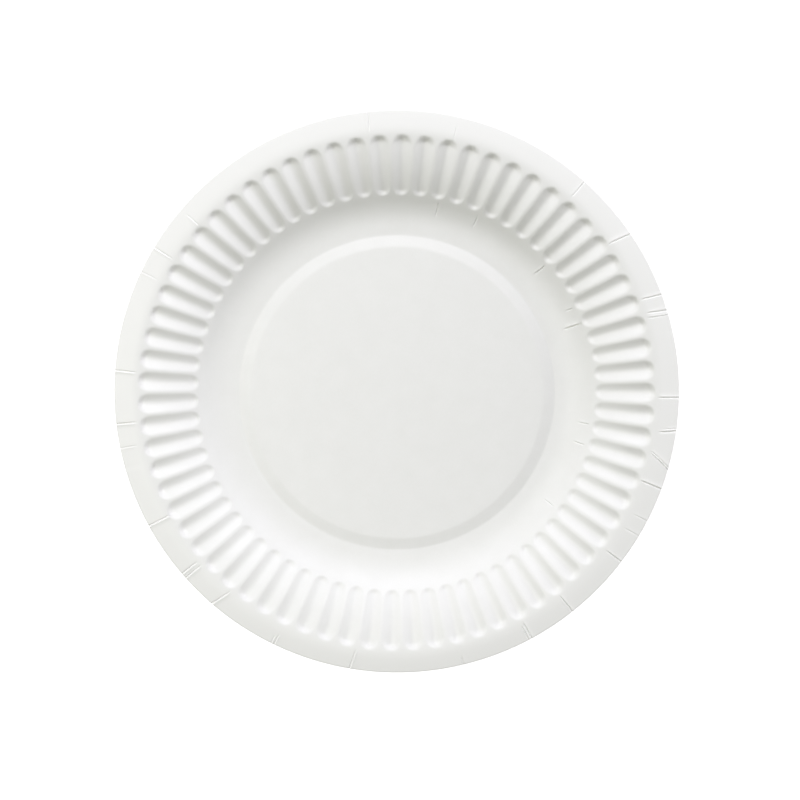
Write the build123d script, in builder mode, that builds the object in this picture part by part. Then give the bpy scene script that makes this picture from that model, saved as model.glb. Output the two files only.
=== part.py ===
from build123d import *
from build123d.topology import SkipClean

import math
import os

# Round paper plate, pressed in one piece from flat coated board.
#
# Millimetres, +Z up.  The plate's axis is Z, and z = 0 is what it stands on.  Its
# section is a chain of straight runs and tangent arcs.  Round the wall runs a ring of
# flutes: tapered troughs with rounded ends, pressed down through the board, so that
# the underside bulges wherever the food side dips and the board stays equally thick.

# Board
BOARD = 0.45  # thickness

# Widths of the section, measured level, from the edge inwards
PLATE_DIAMETER = 230.0
LIP_WIDTH = 3.5  # straight lip at the edge
RIM_WIDTH = 6.3  # curve that carries the wall over into the lip
WALL_WIDTH = 24.2  # wall that carries the flutes
WELL_WIDTH = 10.6  # hollow curve at the foot of the wall
FLOOR_WIDTH = 3.5  # shallow straight run between the foot and that curve
FOOT_WIDTH = 0.8  # flat ring that the plate stands on

# Slopes of the section, in degrees from level
LIP_SLOPE = 8.0  # the lip, which falls away outwards
SHOULDER_SLOPE = 10.0  # the wall where it meets the rim
WALL_SLOPE = 40.0  # the wall at its foot, where it is steepest
FLOOR_SLOPE = 7.0
STEP_SLOPE = 8.0  # between the foot and the centre panel

# Centre panel
PANEL_RISE = 0.65  # above the foot
PANEL_BEND = 15.0  # radius at the panel's edge, on the food side
FOOT_BEND = 1.2  # radius beside the foot, on the food side

# Flutes
FLUTE_COUNT = 70
FLUTE_DEPTH = 1.3
RIDGE_WIDTH = 1.0  # between two neighbouring flutes
FOOT_MARGIN = 1.7  # plain wall below the flutes, measured level
SHOULDER_MARGIN = 0.3  # plain wall above them, measured level

# Wedges that one pitch of the fluted wall is cut from
WEDGE_DEPTH = 6.0  # thickness of the upper wedge
WEDGE_SPARE = 1.5  # how far the lower wedge reaches past the upper one


def sine(degrees):
    return math.sin(math.radians(degrees))


def cosine(degrees):
    return math.cos(math.radians(degrees))


# Radii, from the plate's axis, where the section changes
wall_outer = PLATE_DIAMETER / 2 - LIP_WIDTH - RIM_WIDTH
wall_inner = wall_outer - WALL_WIDTH
floor_outer = wall_inner - WELL_WIDTH
foot_outer = floor_outer - FLOOR_WIDTH
foot_inner = foot_outer - FOOT_WIDTH

# Bend radii on the food side, and the lengths of the straight runs between bends
rim_bend = RIM_WIDTH / (sine(SHOULDER_SLOPE) + sine(LIP_SLOPE))
wall_bend = WALL_WIDTH / (sine(WALL_SLOPE) - sine(SHOULDER_SLOPE))
well_bend = WELL_WIDTH / (sine(WALL_SLOPE) - sine(FLOOR_SLOPE))
lip_run = LIP_WIDTH / cosine(LIP_SLOPE)
floor_run = (FLOOR_WIDTH - FOOT_BEND * sine(FLOOR_SLOPE)) / cosine(FLOOR_SLOPE)
step_run = (PANEL_RISE - (PANEL_BEND + FOOT_BEND) * (1 - cosine(STEP_SLOPE))) / sine(STEP_SLOPE)

# Centre of the wall's arc: its distance from the plate's axis, and its height
floor_rise = FOOT_BEND * (1 - cosine(FLOOR_SLOPE)) + floor_run * sine(FLOOR_SLOPE)
well_rise = well_bend * (cosine(FLOOR_SLOPE) - cosine(WALL_SLOPE))
wall_centre = (
    wall_inner + wall_bend * sine(WALL_SLOPE),
    BOARD + floor_rise + well_rise - wall_bend * cosine(WALL_SLOPE),
)


def wall_point(slope, height=0.0):
    """Point of the section where the wall has that slope, raised square to the wall."""
    reach = wall_bend + height
    return (wall_centre[0] - reach * sine(slope), wall_centre[1] + reach * cosine(slope))


def wall_arc(low_slope, high_slope, height):
    """Arc of the section along the wall, at that height above its food side."""
    middle = (low_slope + high_slope) / 2
    return ThreePointArc(*[wall_point(slope, height) for slope in (low_slope, middle, high_slope)])


def draw_dish(depth):
    """Draws the section from the axis to the wall at that depth, and gives its two ends."""
    foot = Line((foot_inner, BOARD - depth), (foot_outer, BOARD - depth))
    floor_bend = JernArc(foot @ 1, foot % 1, FOOT_BEND + depth, FLOOR_SLOPE)
    floor = PolarLine(floor_bend @ 1, floor_run, direction=floor_bend % 1)
    well = JernArc(floor @ 1, floor % 1, well_bend + depth, WALL_SLOPE - FLOOR_SLOPE)
    step_bend = JernArc(foot @ 0, (-1, 0), FOOT_BEND + depth, -STEP_SLOPE)
    step = PolarLine(step_bend @ 1, step_run, direction=step_bend % 1)
    panel_bend = JernArc(step @ 1, step % 1, PANEL_BEND - depth, STEP_SLOPE)
    panel = Line(panel_bend @ 1, (0, (panel_bend @ 1).Y))
    return panel @ 1, well @ 1


def draw_rim(depth):
    """Draws the section from the wall to the edge at that depth, and gives its two ends."""
    rise = (cosine(SHOULDER_SLOPE), sine(SHOULDER_SLOPE))
    turn = -SHOULDER_SLOPE - LIP_SLOPE
    curve = JernArc(wall_point(SHOULDER_SLOPE, -depth), rise, rim_bend - depth, turn)
    lip = PolarLine(curve @ 1, lip_run, direction=curve % 1)
    return curve @ 0, lip @ 1


def flute_end(slope):
    """Place and radius of the ball that rounds a flute's end where the wall has that slope."""
    chord = 2 * wall_point(slope)[0] * sine(180 / FLUTE_COUNT)
    half_width = (chord - RIDGE_WIDTH) / 2
    radius = (half_width**2 + FLUTE_DEPTH**2) / (2 * FLUTE_DEPTH)
    return wall_point(slope, radius - FLUTE_DEPTH), radius


def flute_end_slope(lip_radius, lip_slope, side):
    """Slope at the centre of a flute's end whose lip is at lip_radius; side 1 is outwards."""
    half_pitch = side * cosine(lip_slope) * sine(180 / FLUTE_COUNT)
    half_ridge = side * cosine(lip_slope) * RIDGE_WIDTH / 2
    end_radius = (lip_radius - half_ridge) / (1 - half_pitch)
    return math.degrees(math.asin((wall_centre[0] - end_radius) / wall_bend))


# Slopes of the wall at the centres of a flute's two rounded ends, and midway
low_slope = flute_end_slope(wall_inner + FOOT_MARGIN, WALL_SLOPE, 1)
high_slope = flute_end_slope(wall_outer - SHOULDER_MARGIN, SHOULDER_SLOPE, -1)
pitch = 360 / FLUTE_COUNT


def flute_bar(depth):
    """Tapered bar that presses one flute to that depth below the food side.

    A ball rounds each end, set where it meets the bar's sides without an edge.
    """
    low_centre, low_radius = flute_end(low_slope)
    high_centre, high_radius = flute_end(high_slope)
    middle_centre, _ = flute_end((low_slope + high_slope) / 2)
    with BuildPart() as bar:
        with BuildLine(Plane.XZ) as path:
            axis_line = ThreePointArc(low_centre, middle_centre, high_centre)
        low_end = Plane(axis_line @ 0, z_dir=axis_line % 0)
        high_end = Plane(axis_line @ 1, z_dir=axis_line % 1)
        with BuildSketch(low_end):
            Circle(low_radius + depth)
        with BuildSketch(high_end):
            Circle(high_radius + depth)
        sweep(path=path.line, multisection=True)
        taper = (high_radius - low_radius) / axis_line.length
        for end, radius in ((low_end, low_radius + depth), (high_end, high_radius + depth)):
            with Locations(end.offset(radius * taper)):
                Sphere(radius * math.hypot(1, taper))
    return bar.part


def fluted_wedge(depth, spare):
    """Wedge whose top is one pitch of the fluted wall, at that depth below the food side.

    Its bottom, ends and sides reach past that pitch by spare.
    """
    spare_slope = math.degrees(spare / wall_bend)
    slopes = (WALL_SLOPE + spare_slope, SHOULDER_SLOPE - spare_slope)
    span = pitch + 2 * math.degrees(spare / wall_outer)
    with BuildPart() as blank:
        with BuildSketch(Plane.XZ):
            with BuildLine():
                top = wall_arc(*slopes, -depth)
                bottom = wall_arc(*slopes, -WEDGE_DEPTH - spare)
                Line(top @ 0, bottom @ 0)
                Line(top @ 1, bottom @ 1)
            make_face()
        revolve(axis=Axis.Z, revolution_arc=span)
    with BuildPart() as wedge:
        add(blank.part, rotation=(0, 0, -span / 2))
        add(flute_bar(depth), mode=Mode.SUBTRACT)
    return wedge.part


# Dish: centre panel, step, foot, floor and well, up to the wall
with BuildPart() as dish:
    with BuildSketch(Plane.XZ):
        with BuildLine():
            food_middle, food_end = draw_dish(0)
            under_middle, under_end = draw_dish(BOARD)
            Line(food_middle, under_middle)
            Line(food_end, under_end)
        make_face()
    revolve(axis=Axis.Z)

# Rim: from the wall over its crest and down the lip to the cut edge
with BuildPart() as rim:
    with BuildSketch(Plane.XZ):
        with BuildLine():
            food_start, food_edge = draw_rim(0)
            under_start, under_edge = draw_rim(BOARD)
            Line(food_start, under_start)
            Line(food_edge, under_edge)
        make_face()
    revolve(axis=Axis.Z)

# One pitch of the fluted wall: a flute, with half a ridge on each side of it
upper_wedge = fluted_wedge(0, 0)
lower_wedge = fluted_wedge(BOARD, WEDGE_SPARE)
with BuildPart() as fluted_pitch:
    add(upper_wedge)
    add(lower_wedge, mode=Mode.SUBTRACT)

# The whole sheet, left with one face to each pitch of the wall instead of one all round
with SkipClean():
    with BuildPart() as paper_plate:
        add(dish.part)
        add(rim.part, clean=False)
        with PolarLocations(0, FLUTE_COUNT):
            add(fluted_pitch.part, clean=False)

paper_plate.part.label = "paper_plate"
os.makedirs("parts", exist_ok=True)
export_step(paper_plate.part, "parts/paper_plate.step")
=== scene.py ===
import math

import bpy
import numpy as np
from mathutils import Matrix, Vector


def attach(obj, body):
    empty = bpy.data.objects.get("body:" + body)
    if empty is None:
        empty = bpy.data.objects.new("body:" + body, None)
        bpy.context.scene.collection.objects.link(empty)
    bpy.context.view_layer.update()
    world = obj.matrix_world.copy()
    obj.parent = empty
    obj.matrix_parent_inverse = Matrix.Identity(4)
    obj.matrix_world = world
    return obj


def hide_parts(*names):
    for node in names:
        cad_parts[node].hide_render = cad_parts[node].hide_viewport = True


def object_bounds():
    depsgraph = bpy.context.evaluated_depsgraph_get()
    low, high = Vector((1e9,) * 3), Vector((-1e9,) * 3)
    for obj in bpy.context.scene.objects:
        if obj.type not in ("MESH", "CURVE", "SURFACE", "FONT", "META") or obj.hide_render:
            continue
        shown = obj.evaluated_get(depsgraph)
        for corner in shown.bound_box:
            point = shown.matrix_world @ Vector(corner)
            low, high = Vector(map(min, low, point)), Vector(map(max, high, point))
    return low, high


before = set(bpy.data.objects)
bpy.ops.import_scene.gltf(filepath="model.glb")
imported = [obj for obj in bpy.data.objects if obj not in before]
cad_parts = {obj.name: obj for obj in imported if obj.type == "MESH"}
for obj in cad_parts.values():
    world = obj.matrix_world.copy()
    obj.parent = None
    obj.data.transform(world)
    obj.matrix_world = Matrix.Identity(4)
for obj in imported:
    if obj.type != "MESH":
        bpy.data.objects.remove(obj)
cad_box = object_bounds()
scene = bpy.context.scene

# ------------------------------------------------------------------ camera
# Almost straight above the plate, leaning five degrees over its far side.
camera_data = bpy.data.cameras.new("camera")
camera_data.sensor_width = 36.0
camera_data.lens = 51.44
camera = bpy.data.objects.new("camera", camera_data)
camera_lean = math.radians(5.5)
camera_turn = math.radians(-1.3)
camera_reach = 0.4697
aim = (0.0013, -0.0013, 0.012)
camera.rotation_euler = (-camera_lean, 0, camera_turn)
camera.location = (
    aim[0] - camera_reach * math.sin(camera_lean) * math.sin(camera_turn),
    aim[1] + camera_reach * math.sin(camera_lean) * math.cos(camera_turn),
    aim[2] + camera_reach * math.cos(camera_lean),
)
scene.collection.objects.link(camera)
scene.camera = camera
scene.view_settings.view_transform = "Standard"

# ------------------------------------------------------------------ paper plate
# A disc of coated paperboard, stamped between two heated dies: the centre panel is
# pushed up inside the ring it stands on, the wall is gathered into flutes, and the
# rim cracks into short pleats because its edge has to shrink.
MM = 0.001  # sizes of the plate are in millimetres and leave this section in metres
BOARD = 0.45
EDGE_RADIUS = cad_box[1][0] / MM
PLATE_HEIGHT = cad_box[1][2] / MM
FLUTE_COUNT = 70

# Slope of the food side, in degrees, at distances from the axis: level panel, step down to
# the ring it stands on, dished wall rising to the crest, and rim falling to the cut edge
section_slopes = [
    (0.0, 0), (60.8, 0), (62.2, -11.8), (66.1, -11.8), (66.35, 0), (66.65, 0),
    (66.9, 7), (70.4, 7.5), (81.0, 40), (105.0, 10), (106.9, 3), (107.8, 0),
    (109.6, -3.5), (115.0, -5.2),
]
SOFTENING = 0.22  # the slopes blend into each other over about this distance
PLEAT_LIP = 0.17  # room kept above the crest for the lips beside the pleats


def smooth_step(value):
    value = np.clip(value, 0, 1)
    return value * value * (3 - 2 * value)


knot_radii, knot_slopes = np.array(section_slopes, float).T
fine_step = 0.02
SECTION_END = 125  # past the edge, so that the blending has slopes on both sides of it
fine_radii = np.arange(0, SECTION_END, fine_step)
fine_sines = np.interp(fine_radii, knot_radii, np.sin(np.radians(knot_slopes)))
blend = np.hanning(int(2 * SOFTENING / fine_step) | 1)
half_blend = len(blend) // 2
padded_sines = np.pad(fine_sines, half_blend, mode="edge")
fine_sines = np.convolve(padded_sines, blend / blend.sum(), "valid")
fine_slopes = np.arcsin(fine_sines)
fine_heights = np.cumsum(np.tan(fine_slopes)) * fine_step
inside_edge = fine_radii <= EDGE_RADIUS
fine_heights -= fine_heights[inside_edge].min()
fine_heights *= (PLATE_HEIGHT - BOARD - PLEAT_LIP) / fine_heights[inside_edge].max()
fine_heights += BOARD

# Flutes: troughs that deepen outwards, with a narrower round ridge between each two
FLUTE_START, FLUTE_END = 82.9, 104.4  # middle of the two end walls, from the axis
START_WALL, END_WALL = 1.1, 2.7  # plan length of the end walls
START_CURVE, END_CURVE = 1.3, 1.6  # how far the end walls bend round at the ridges
START_DEPTH, END_DEPTH = 1.0, 1.85
TROUGH_SHARE = 0.36  # of the pitch, either side of the middle; the rest is ridge
BOTTOM_SHARE = 0.15  # how widely the bottom is rounded


def at_radius(values, radius):
    return np.interp(radius, fine_radii, values)


def flute_depth(radius, azimuth):
    """Depth of the flutes below the ridges between them."""
    share = np.abs((azimuth * FLUTE_COUNT / (2 * math.pi) + 0.5) % 1 - 0.5)
    # Straight flanks meet in a rounded bottom, and a rounded ridge takes over at the same slope
    across = math.hypot(TROUGH_SHARE, BOTTOM_SHARE)
    flank = TROUGH_SHARE / across
    fall = 1 / (across - BOTTOM_SHARE + flank * (0.5 - TROUGH_SHARE) / 2)
    trough = 1 - fall * (np.hypot(share, BOTTOM_SHARE) - BOTTOM_SHARE)
    ridge = fall * flank * (0.5 - share) ** 2 / (0.5 - TROUGH_SHARE) / 2
    bend = (share / TROUGH_SHARE) ** 2
    opening = smooth_step((radius - FLUTE_START - START_CURVE * bend) / START_WALL + 0.5)
    closing = smooth_step((FLUTE_END - END_CURVE * bend - radius) / END_WALL + 0.5)
    way = np.clip((radius - FLUTE_START) / (FLUTE_END - FLUTE_START), 0, 1)
    depth = START_DEPTH + (END_DEPTH - START_DEPTH) * way
    return depth * np.where(share < TROUGH_SHARE, trough, ridge) * opening * closing


# Pleats in the rim: angle clockwise from the top as the camera sees it round the outline,
# lean over the rim (degrees), first and last distance from the axis, and depth (millimetres)
rim_pleats = [
    (12.7, 0.0, 106.0, 111.5, 0.20), (41.8, 0.0, 107.0, 116.0, 0.30), (55.1, 0.9, 105.0, 116.0, 0.42),
    (69.3, 0.6, 106.5, 116.0, 0.36), (72.5, 0.7, 107.0, 116.0, 0.34), (73.6, 0.4, 107.0, 116.0, 0.34),
    (78.3, 0.0, 109.0, 116.0, 0.12), (84.4, 0.0, 108.0, 116.0, 0.12), (91.3, 0.0, 106.5, 116.0, 0.40),
    (98.9, -0.5, 108.0, 116.0, 0.40), (98.2, -0.4, 110.5, 116.0, 0.30), (103.4, 0.4, 106.0, 116.0, 0.30),
    (103.8, 2.1, 106.5, 116.0, 0.46), (110.1, 0.3, 105.5, 116.0, 0.42), (117.5, 0.0, 108.5, 116.0, 0.14),
    (121.0, 0.0, 108.0, 116.0, 0.14), (127.3, 0.0, 107.0, 116.0, 0.38), (141.5, 0.0, 106.5, 116.0, 0.40),
    (151.4, 0.0, 107.0, 116.0, 0.34), (152.1, 0.0, 108.0, 116.0, 0.34), (166.3, 0.0, 111.0, 116.0, 0.34),
    (175.9, 0.0, 109.0, 116.0, 0.12), (189.0, 0.7, 106.5, 116.0, 0.40), (205.8, 0.0, 110.0, 116.0, 0.30),
    (206.5, 0.0, 111.0, 116.0, 0.28), (219.9, 1.1, 106.0, 116.0, 0.42), (228.4, 0.0, 106.5, 116.0, 0.36),
    (229.5, 0.0, 107.0, 116.0, 0.36), (236.8, 0.0, 110.5, 114.0, 0.12), (241.4, 0.0, 103.0, 116.0, 0.42),
    (254.0, 0.0, 108.0, 116.0, 0.12), (258.3, 0.0, 108.0, 116.0, 0.14), (263.3, 0.0, 106.5, 116.0, 0.42),
    (274.3, 0.0, 106.5, 116.0, 0.44), (282.7, 0.0, 108.5, 116.0, 0.12), (295.2, 0.0, 108.0, 116.0, 0.14),
    (300.8, 0.0, 106.5, 116.0, 0.34), (310.2, 0.0, 103.5, 112.0, 0.26), (325.4, 0.0, 108.0, 116.0, 0.12),
    (341.5, 0.0, 108.0, 116.0, 0.12), (354.1, 0.0, 107.0, 116.0, 0.28),
]
# Short straight creases in the wall below the flutes, written the same way
wall_creases = [
    (12.5, 0.0, 75.6, 81.8, 0.42), (24.8, 0.0, 76.4, 81.4, 0.30), (49.6, 0.0, 76.2, 81.8, 0.40),
    (64.6, 0.0, 78.4, 82.2, 0.30), (69.7, 0.0, 75.2, 82.4, 0.48), (99.8, 0.0, 77.0, 81.8, 0.30),
    (106.0, 0.0, 77.0, 81.8, 0.30), (126.4, 0.0, 76.6, 81.4, 0.28),
]
PLEAT_WIDTH = 0.25
PLEAT_FADE = 1.2  # length over which a pleat runs out at either end
LIP_SHARE, LIP_OFFSET, LIP_WIDTH = 0.45, 2 * PLEAT_WIDTH, 1.6 * PLEAT_WIDTH
LEAN_FROM, LEAN_TO = 107.0, 115.0  # a pleat leans over between these distances


def pleat_azimuth(pleat):
    """Azimuth of a pleat on the plate, counter-clockwise from +X, in radians."""
    seen = math.radians(pleat[0])
    radius = min(pleat[3], EDGE_RADIUS)
    # The outline's middle isn't where the leaning camera sees the axis
    camera_height = camera.location.z / MM - PLATE_HEIGHT
    drop = PLATE_HEIGHT - float(at_radius(fine_heights, radius))
    shift = math.sin(camera_lean) * (EDGE_RADIUS**2 / camera_height - drop) / radius
    return (math.pi / 2 - seen + shift * math.sin(seen) + camera_turn) % (2 * math.pi)


def turn_between(azimuth, other):
    return (azimuth - other + math.pi) % (2 * math.pi) - math.pi


def lean_turn(radius, azimuth):
    """Turn that carries the columns of the mesh along the leaning pleats."""
    share = np.clip((radius - LEAN_FROM) / (LEAN_TO - LEAN_FROM), 0, 1)
    turn = 0
    for pleat in rim_pleats:
        if pleat[1]:
            reached = max(1.5, 2.2 * abs(pleat[1]))  # degrees either side that lean with it
            apart = np.degrees(turn_between(azimuth, pleat_azimuth(pleat))) / reached
            turn = turn - math.radians(pleat[1]) * np.clip(1 - apart**2, 0, None) ** 2
    return turn * share


def crease_depth(radius, azimuth, creases):
    """Depth of the pleats: a narrow groove with a raised lip on one side."""
    depth = np.zeros(np.broadcast(radius, azimuth).shape)
    for crease in creases:
        across = radius * turn_between(azimuth, pleat_azimuth(crease))
        fade = smooth_step((radius - crease[2]) / PLEAT_FADE) * smooth_step((crease[3] - radius) / PLEAT_FADE)
        groove = np.exp(-((across / PLEAT_WIDTH) ** 2))
        lip = np.exp(-(((across - LIP_OFFSET) / LIP_WIDTH) ** 2))
        depth = depth + crease[4] * fade * (groove - LIP_SHARE * lip)
    return depth


# Waves round the rim and the wall: how many, where they start, and share of the height
rim_waves = [(2, 0.6, 1.0), (3, 2.1, 0.7), (5, 4.0, 0.5), (9, 1.3, 0.35), (16, 3.1, 0.22), (27, 0.4, 0.12)]
WAVE_HEIGHT = 0.09
WAVES_FROM, WAVES_GROWTH = 84, 26


def unevenness(radius, azimuth):
    """Drop of the rim and the wall below their true height: a pressed plate is never flat."""
    waves = 0
    for count, phase, share in rim_waves:
        waves = waves + share * (1 + np.sin(count * azimuth + phase)) / 2
    return WAVE_HEIGHT * waves * smooth_step((radius - WAVES_FROM) / WAVES_GROWTH)


def food_side(radius, azimuth):
    """Points of the food side, in millimetres, for mesh coordinates that broadcast."""
    slope = at_radius(fine_slopes, radius)
    depth = flute_depth(radius, azimuth)
    depth = depth + crease_depth(radius, azimuth, rim_pleats + wall_creases)
    depth = depth + unevenness(radius, azimuth)
    turned = azimuth + lean_turn(radius, azimuth)
    reach = radius + depth * np.sin(slope)
    height = at_radius(fine_heights, radius) - depth * np.cos(slope)
    return np.stack(np.broadcast_arrays(reach * np.cos(turned), reach * np.sin(turned), height), axis=-1)


def underside(radius, azimuth):
    """Points one board thickness below the food side, square to it."""
    step = 0.05
    along = food_side(radius + step, azimuth) - food_side(radius - step, azimuth)
    turn = step / np.maximum(radius, 1)
    around = food_side(radius, azimuth + turn) - food_side(radius, azimuth - turn)
    normal = np.cross(along, around)
    normal /= np.linalg.norm(normal, axis=-1, keepdims=True)
    return food_side(radius, azimuth) - BOARD * normal


# Columns of the mesh, as shares of a flute's pitch either side of its middle
fine_shares = [-0.5, -0.455, -0.41, -0.37, -0.32, -0.25, -0.17, -0.085]
fine_shares += [0.0] + [-share for share in fine_shares[:0:-1]]
rim_shares = fine_shares[::2]
well_shares = fine_shares[::4]
panel_shares = fine_shares[::8]


def columns(shares, every=1):
    pitch = 2 * math.pi / FLUTE_COUNT
    flutes = np.arange(0, FLUTE_COUNT, every)[:, None]
    return np.sort(((flutes + np.array(shares)) * pitch).ravel() % (2 * math.pi))


def with_creases(base, creases, radius):
    """Adds close columns across each crease, whose distances in millimetres hold at one radius."""
    offsets = np.array([-0.9, -0.55, -0.3, -0.13, 0.0, 0.13, 0.3, 0.5, 0.8, 1.1]) / radius
    extra = np.concatenate([pleat_azimuth(crease) + offsets for crease in creases])
    return np.unique(np.concatenate([base, extra % (2 * math.pi)]))


def spread(low, high, count, crowding=0.0):
    """Distances from low to high, crowded towards both ends."""
    share = np.linspace(0, 1, count)
    return low + (high - low) * ((1 - crowding) * share + crowding * (1 - np.cos(math.pi * share)) / 2)


fine_columns = columns(fine_shares)
rim_columns = columns(rim_shares)
well_columns = columns(well_shares)
panel_columns = columns(panel_shares)
strong_pleats = [pleat for pleat in rim_pleats if pleat[4] > 0.13]
pleated_columns = with_creases(rim_columns, strong_pleats, 111)
creased_columns = with_creases(well_columns, wall_creases, 79)

# Rings of the mesh: distance from the axis, and the columns that each ring has
EDGE_BEVEL = 0.12
food_rings = [(6.0, columns([0.0], 5))]
food_rings += [(radius, columns([0.0])) for radius in (16.0, 30.0, 44.0)]
food_rings += [(radius, panel_columns) for radius in (54.0, 59.0)]
step_radii = (
    60.2, 60.7, 61.1, 61.5, 61.9, 62.3, 62.8, 64.0, 65.2, 65.9, 66.15, 66.35, 66.55, 66.75, 67.0, 67.3, 67.9,
)
food_rings += [(radius, well_columns) for radius in step_radii]
food_rings += [(radius, well_columns) for radius in (69.3, 70.7, 72.1, 73.6)]
food_rings += [(radius, creased_columns) for radius in (74.8, 75.6)]
food_rings += [(radius, creased_columns) for radius in spread(76.4, 80.9, 8)]
food_rings += [(radius, fine_columns) for radius in spread(81.4, 105.1, 32, 0.7)]
food_rings += [(radius, pleated_columns) for radius in spread(105.6, 114.5, 15)]
food_rings += [(EDGE_RADIUS - EDGE_BEVEL, pleated_columns)]
under_rings = food_rings[:6]
under_rings += [(radius, well_columns) for radius in step_radii[::2]]
under_rings += [(radius, well_columns) for radius in spread(69.0, 80.0, 7)]
under_rings += [(radius, fine_columns) for radius in spread(81.4, 106.4, 22, 0.6)]
under_rings += [(radius, rim_columns) for radius in spread(107.0, 113.0, 4)]
under_rings += [(EDGE_RADIUS - EDGE_BEVEL, pleated_columns)]

points, faces, finish_of_face = [], [], []
FOOD, UNDER, CUT = 0, 1, 2


def add_ring(surface, radius, ring_columns):
    """Adds one ring of points and gives its columns and point numbers."""
    first = len(points)
    points.extend(surface(np.full(len(ring_columns), radius), ring_columns))
    return np.round(ring_columns, 9), np.arange(first, len(points))


def join_rings(inner, outer, finish, facing_up):
    """Faces between two rings, from each column that both have to the next such column."""
    shared = np.intersect1d(inner[0], outer[0])
    starts = [np.searchsorted(ring[0], shared) for ring in (inner, outer)]
    for here in range(len(shared)):
        paths = []
        for ring, start in zip((inner, outer), starts):
            low, high = start[here], start[(here + 1) % len(shared)]
            high += len(ring[0]) if here == len(shared) - 1 else 0
            paths.append([ring[1][number % len(ring[1])] for number in range(low, high + 1)])
        face = paths[1] + paths[0][::-1]
        faces.append(face if facing_up else face[::-1])
        finish_of_face.append(finish)


def add_side(surface, rings, finish, facing_up):
    """Adds one side of the sheet, from the middle out, and gives its last ring."""
    middle = len(points)
    points.append(surface(np.array([0.02]), np.array([0.0]))[0] * (0, 0, 1))
    last = add_ring(surface, *rings[0])
    count = len(last[1])
    for number in range(count):
        face = [middle, last[1][number], last[1][(number + 1) % count]]
        faces.append(face if facing_up else face[::-1])
        finish_of_face.append(finish)
    for ring in rings[1:]:
        following = add_ring(surface, *ring)
        join_rings(last, following, finish, facing_up)
        last = following
    return last


food_edge = add_side(food_side, food_rings, FOOD, True)
under_edge = add_side(underside, under_rings, UNDER, False)


def middle_of_board(radius, azimuth):
    return (food_side(radius, azimuth) + underside(radius, azimuth)) / 2


# The cut edge stands out a little from both sides, as a sheared board does
edge_middle = add_ring(middle_of_board, EDGE_RADIUS, pleated_columns)
join_rings(food_edge, edge_middle, CUT, True)
join_rings(edge_middle, under_edge, CUT, True)

plate_mesh = bpy.data.meshes.new("paper_plate")
plate_mesh.from_pydata(np.array(points) * MM, [], faces)
plate_mesh.polygons.foreach_set("material_index", finish_of_face)
plate_mesh.polygons.foreach_set("use_smooth", [True] * len(faces))
plate_mesh.validate()
plate_mesh.update()
plate = bpy.data.objects.new("pressed_plate", plate_mesh)
scene.collection.objects.link(plate)

# Pressed fibres: a soft mottle and a fine grain, measured in millimetres on the board
fibre = bpy.data.node_groups.new("board_fibre", "ShaderNodeTree")
fibre_sockets = {
    "INPUT": ("Light Color", "Dark Color", "Mottle", "Smoothest", "Roughest", "Fibre Size"),
    "OUTPUT": ("Color", "Roughness", "Height"),
}
for direction, labels in fibre_sockets.items():
    for label in labels:
        kind = "NodeSocketColor" if "Color" in label else "NodeSocketFloat"
        fibre.interface.new_socket(label, in_out=direction, socket_type=kind)


def add_node(tree, kind, values=(), **settings):
    """Adds a node, sets its inputs by name or number and links the ones given as outputs."""
    node = tree.nodes.new(kind)
    for name, value in settings.items():
        setattr(node, name, value)
    for key, value in dict(values).items():
        if isinstance(value, bpy.types.NodeSocket):
            tree.links.new(value, node.inputs[key])
        else:
            node.inputs[key].default_value = value
    return node


given = add_node(fibre, "NodeGroupInput").outputs
place = add_node(fibre, "ShaderNodeTexCoord").outputs["Object"]
in_mm = add_node(
    fibre, "ShaderNodeVectorMath", {0: place, 1: (1000, 1000, 1000)}, operation="MULTIPLY"
).outputs[0]
# Fibres lie mostly along the web the disc was cut from
stretched = add_node(
    fibre, "ShaderNodeVectorMath", {0: in_mm, 1: (1, 0.45, 1)}, operation="MULTIPLY"
).outputs[0]
fibre_density = add_node(
    fibre, "ShaderNodeMath", {0: 1.0, 1: given["Fibre Size"]}, operation="DIVIDE"
).outputs[0]
grain = add_node(fibre, "ShaderNodeTexNoise", {
    "Vector": stretched, "Scale": fibre_density, "Detail": 4.0, "Roughness": 0.6, "Distortion": 0.6,
}).outputs[0]
cloud = add_node(fibre, "ShaderNodeTexNoise", {
    "Vector": in_mm, "Scale": 0.11, "Detail": 3.0, "Roughness": 0.55,
}).outputs[0]
mixed = add_node(fibre, "ShaderNodeMath", {0: grain, 1: cloud}, operation="ADD").outputs[0]
share = add_node(fibre, "ShaderNodeMapRange", {"Value": mixed, "From Min": 0.7, "From Max": 1.3}).outputs[0]
tone = add_node(fibre, "ShaderNodeMath", {0: share, 1: given["Mottle"]}, operation="MULTIPLY").outputs[0]
colour = add_node(
    fibre, "ShaderNodeMix", {0: tone, 6: given["Light Color"], 7: given["Dark Color"]}, data_type="RGBA"
)
rough = add_node(fibre, "ShaderNodeMapRange", {
    "Value": share, "To Min": given["Smoothest"], "To Max": given["Roughest"],
})
add_node(fibre, "NodeGroupOutput", {
    "Color": colour.outputs[2], "Roughness": rough.outputs[0], "Height": grain,
})


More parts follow.
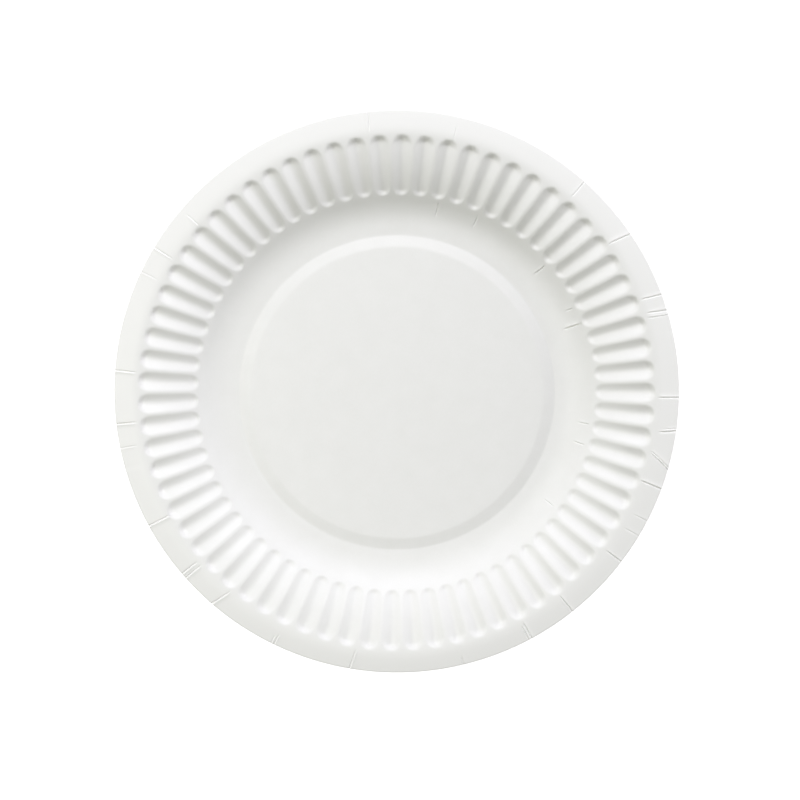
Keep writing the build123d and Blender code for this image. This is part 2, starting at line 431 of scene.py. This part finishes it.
def board_material(name, light, dark, mottle, roughness, fibre_size, relief):
    """Board surface: fibre group into colour, roughness and a bump of the given height in mm."""
    material = bpy.data.materials.new(name)
    material.use_nodes = True
    tree = material.node_tree
    shader = tree.nodes["Principled BSDF"]
    surface = add_node(tree, "ShaderNodeGroup", node_tree=fibre)
    for key, value in (
        ("Light Color", light), ("Dark Color", dark), ("Mottle", mottle), ("Smoothest", roughness[0]),
        ("Roughest", roughness[1]), ("Fibre Size", fibre_size),
    ):
        surface.inputs[key].default_value = value
    bump = add_node(tree, "ShaderNodeBump", {"Height": surface.outputs["Height"], "Distance": relief * MM})
    tree.links.new(surface.outputs["Color"], shader.inputs["Base Color"])
    tree.links.new(surface.outputs["Roughness"], shader.inputs["Roughness"])
    tree.links.new(bump.outputs["Normal"], shader.inputs["Normal"])
    plate_mesh.materials.append(material)
    return shader


# Clay coating on the food side, bare fibre on the underside and at the cut edge
food_shader = board_material(
    "food_side_coating", (0.884, 0.882, 0.886, 1), (0.860, 0.859, 0.858, 1),
    mottle=1.0, roughness=(0.48, 0.62), fibre_size=0.5, relief=0.006,
)
food_shader.inputs["Coat Weight"].default_value = 0.08
food_shader.inputs["Coat Roughness"].default_value = 0.4

# Painted light: the rim's base colour is made a little whiter, standing in for the brighter light that falls
# on the rim
food_tree = plate_mesh.materials[0].node_tree
food_place = add_node(food_tree, "ShaderNodeTexCoord").outputs["Object"]
food_plan = add_node(
    food_tree, "ShaderNodeVectorMath", {0: food_place, 1: (1, 1, 0)}, operation="MULTIPLY"
).outputs[0]
food_reach = add_node(food_tree, "ShaderNodeVectorMath", {0: food_plan}, operation="LENGTH").outputs["Value"]
rim_light_mask = add_node(
    food_tree, "ShaderNodeMapRange", {"Value": food_reach, "From Min": 105 * MM, "From Max": 108 * MM}
).outputs[0]
fibre_colour = food_shader.inputs["Base Color"].links[0].from_socket
# Painted light: the whiter colour mixed onto the rim stands in for light on it
RIM_PAINTED_LIGHT = (0.906, 0.904, 0.906, 1)
painted_rim_light = add_node(food_tree, "ShaderNodeMix", {0: rim_light_mask, 6: fibre_colour, 7: RIM_PAINTED_LIGHT}, data_type="RGBA")
food_tree.links.new(painted_rim_light.outputs[2], food_shader.inputs["Base Color"])

board_material(
    "bare_underside", (0.82, 0.812, 0.785, 1), (0.785, 0.776, 0.745, 1),
    mottle=1.0, roughness=(0.75, 0.9), fibre_size=0.7, relief=0.02,
)
board_material(
    "cut_edge", (0.86, 0.855, 0.83, 1), (0.70, 0.685, 0.64, 1),
    mottle=1.0, roughness=(0.85, 0.95), fibre_size=0.16, relief=0.03,
)

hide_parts("paper_plate")
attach(plate, "root")

# ------------------------------------------------------------------ floor and light
# A white table top under large soft lights.
floor_mesh = bpy.data.meshes.new("floor")
TABLE_HALF = 3
floor_corners = [(x * TABLE_HALF, y * TABLE_HALF, 0) for x, y in ((-1, -1), (1, -1), (1, 1), (-1, 1))]
floor_mesh.from_pydata(floor_corners, [], [(0, 1, 2, 3)])
floor = bpy.data.objects.new("floor", floor_mesh)
floor.location.z = -0.0002  # just clear of the plate
scene.collection.objects.link(floor)
floor_material = bpy.data.materials.new("white_table")
floor_material.use_nodes = True
floor_shader = floor_material.node_tree.nodes["Principled BSDF"]
floor_shader.inputs["Base Color"].default_value = (0.3, 0.3, 0.3, 1)
floor_shader.inputs["Roughness"].default_value = 0.9
floor_shader.inputs["Emission Color"].default_value = (1, 1, 1, 1)
# Looks evenly white, and lights the plate a little less than it looks
floor_seen = add_node(floor_material.node_tree, "ShaderNodeLightPath").outputs["Is Camera Ray"]
floor_glow = add_node(
    floor_material.node_tree, "ShaderNodeMapRange", {"Value": floor_seen, "To Min": 0.8, "To Max": 1.0}
)
floor_material.node_tree.links.new(floor_glow.outputs[0], floor_shader.inputs["Emission Strength"])
floor_mesh.materials.append(floor_material)

LIGHT_DISTANCE = 1.5
LIGHT_SIDE = 0.6


def soft_light(name, azimuth, elevation, power, color):
    """Square soft light aimed at the plate; azimuth is clockwise from the far side."""
    data = bpy.data.lights.new(name, "AREA")
    data.shape = "SQUARE"
    data.size = LIGHT_SIDE
    data.energy = power
    data.color = color
    light = bpy.data.objects.new(name, data)
    turn, rise = math.radians(azimuth), math.radians(elevation)
    light.location = (
        LIGHT_DISTANCE * math.cos(rise) * math.sin(turn),
        LIGHT_DISTANCE * math.cos(rise) * math.cos(turn),
        LIGHT_DISTANCE * math.sin(rise),
    )
    light.rotation_euler = (math.pi / 2 - rise, 0, math.pi - turn)
    scene.collection.objects.link(light)


COOL, PLAIN, WARM = (0.940, 0.934, 1.0), (1.0, 0.998, 0.980), (0.988, 1.0, 0.890)
soft_light("key_far", 0, 40, 11.3, COOL)
soft_light("key_far_right", 45, 40, 3.8, COOL)
soft_light("side_right", 90, 12, 6.0, PLAIN)
soft_light("side_left", 270, 12, 2.1, PLAIN)
soft_light("side_far_right", 45, 12, 1.9, PLAIN)
soft_light("side_far_left", 315, 12, 2.0, PLAIN)
soft_light("fill_left", 270, 64, 7.7, WARM)
soft_light("fill_near_left", 225, 64, 3.6, WARM)

# The room past the table's end is white to look at but lights nothing
world = bpy.data.worlds.new("studio")
world.use_nodes = True
background = world.node_tree.nodes["Background"]
background.inputs["Color"].default_value = (1, 1, 1, 1)
seen = add_node(world.node_tree, "ShaderNodeLightPath").outputs["Is Camera Ray"]
world.node_tree.links.new(seen, background.inputs["Strength"])
scene.world = world
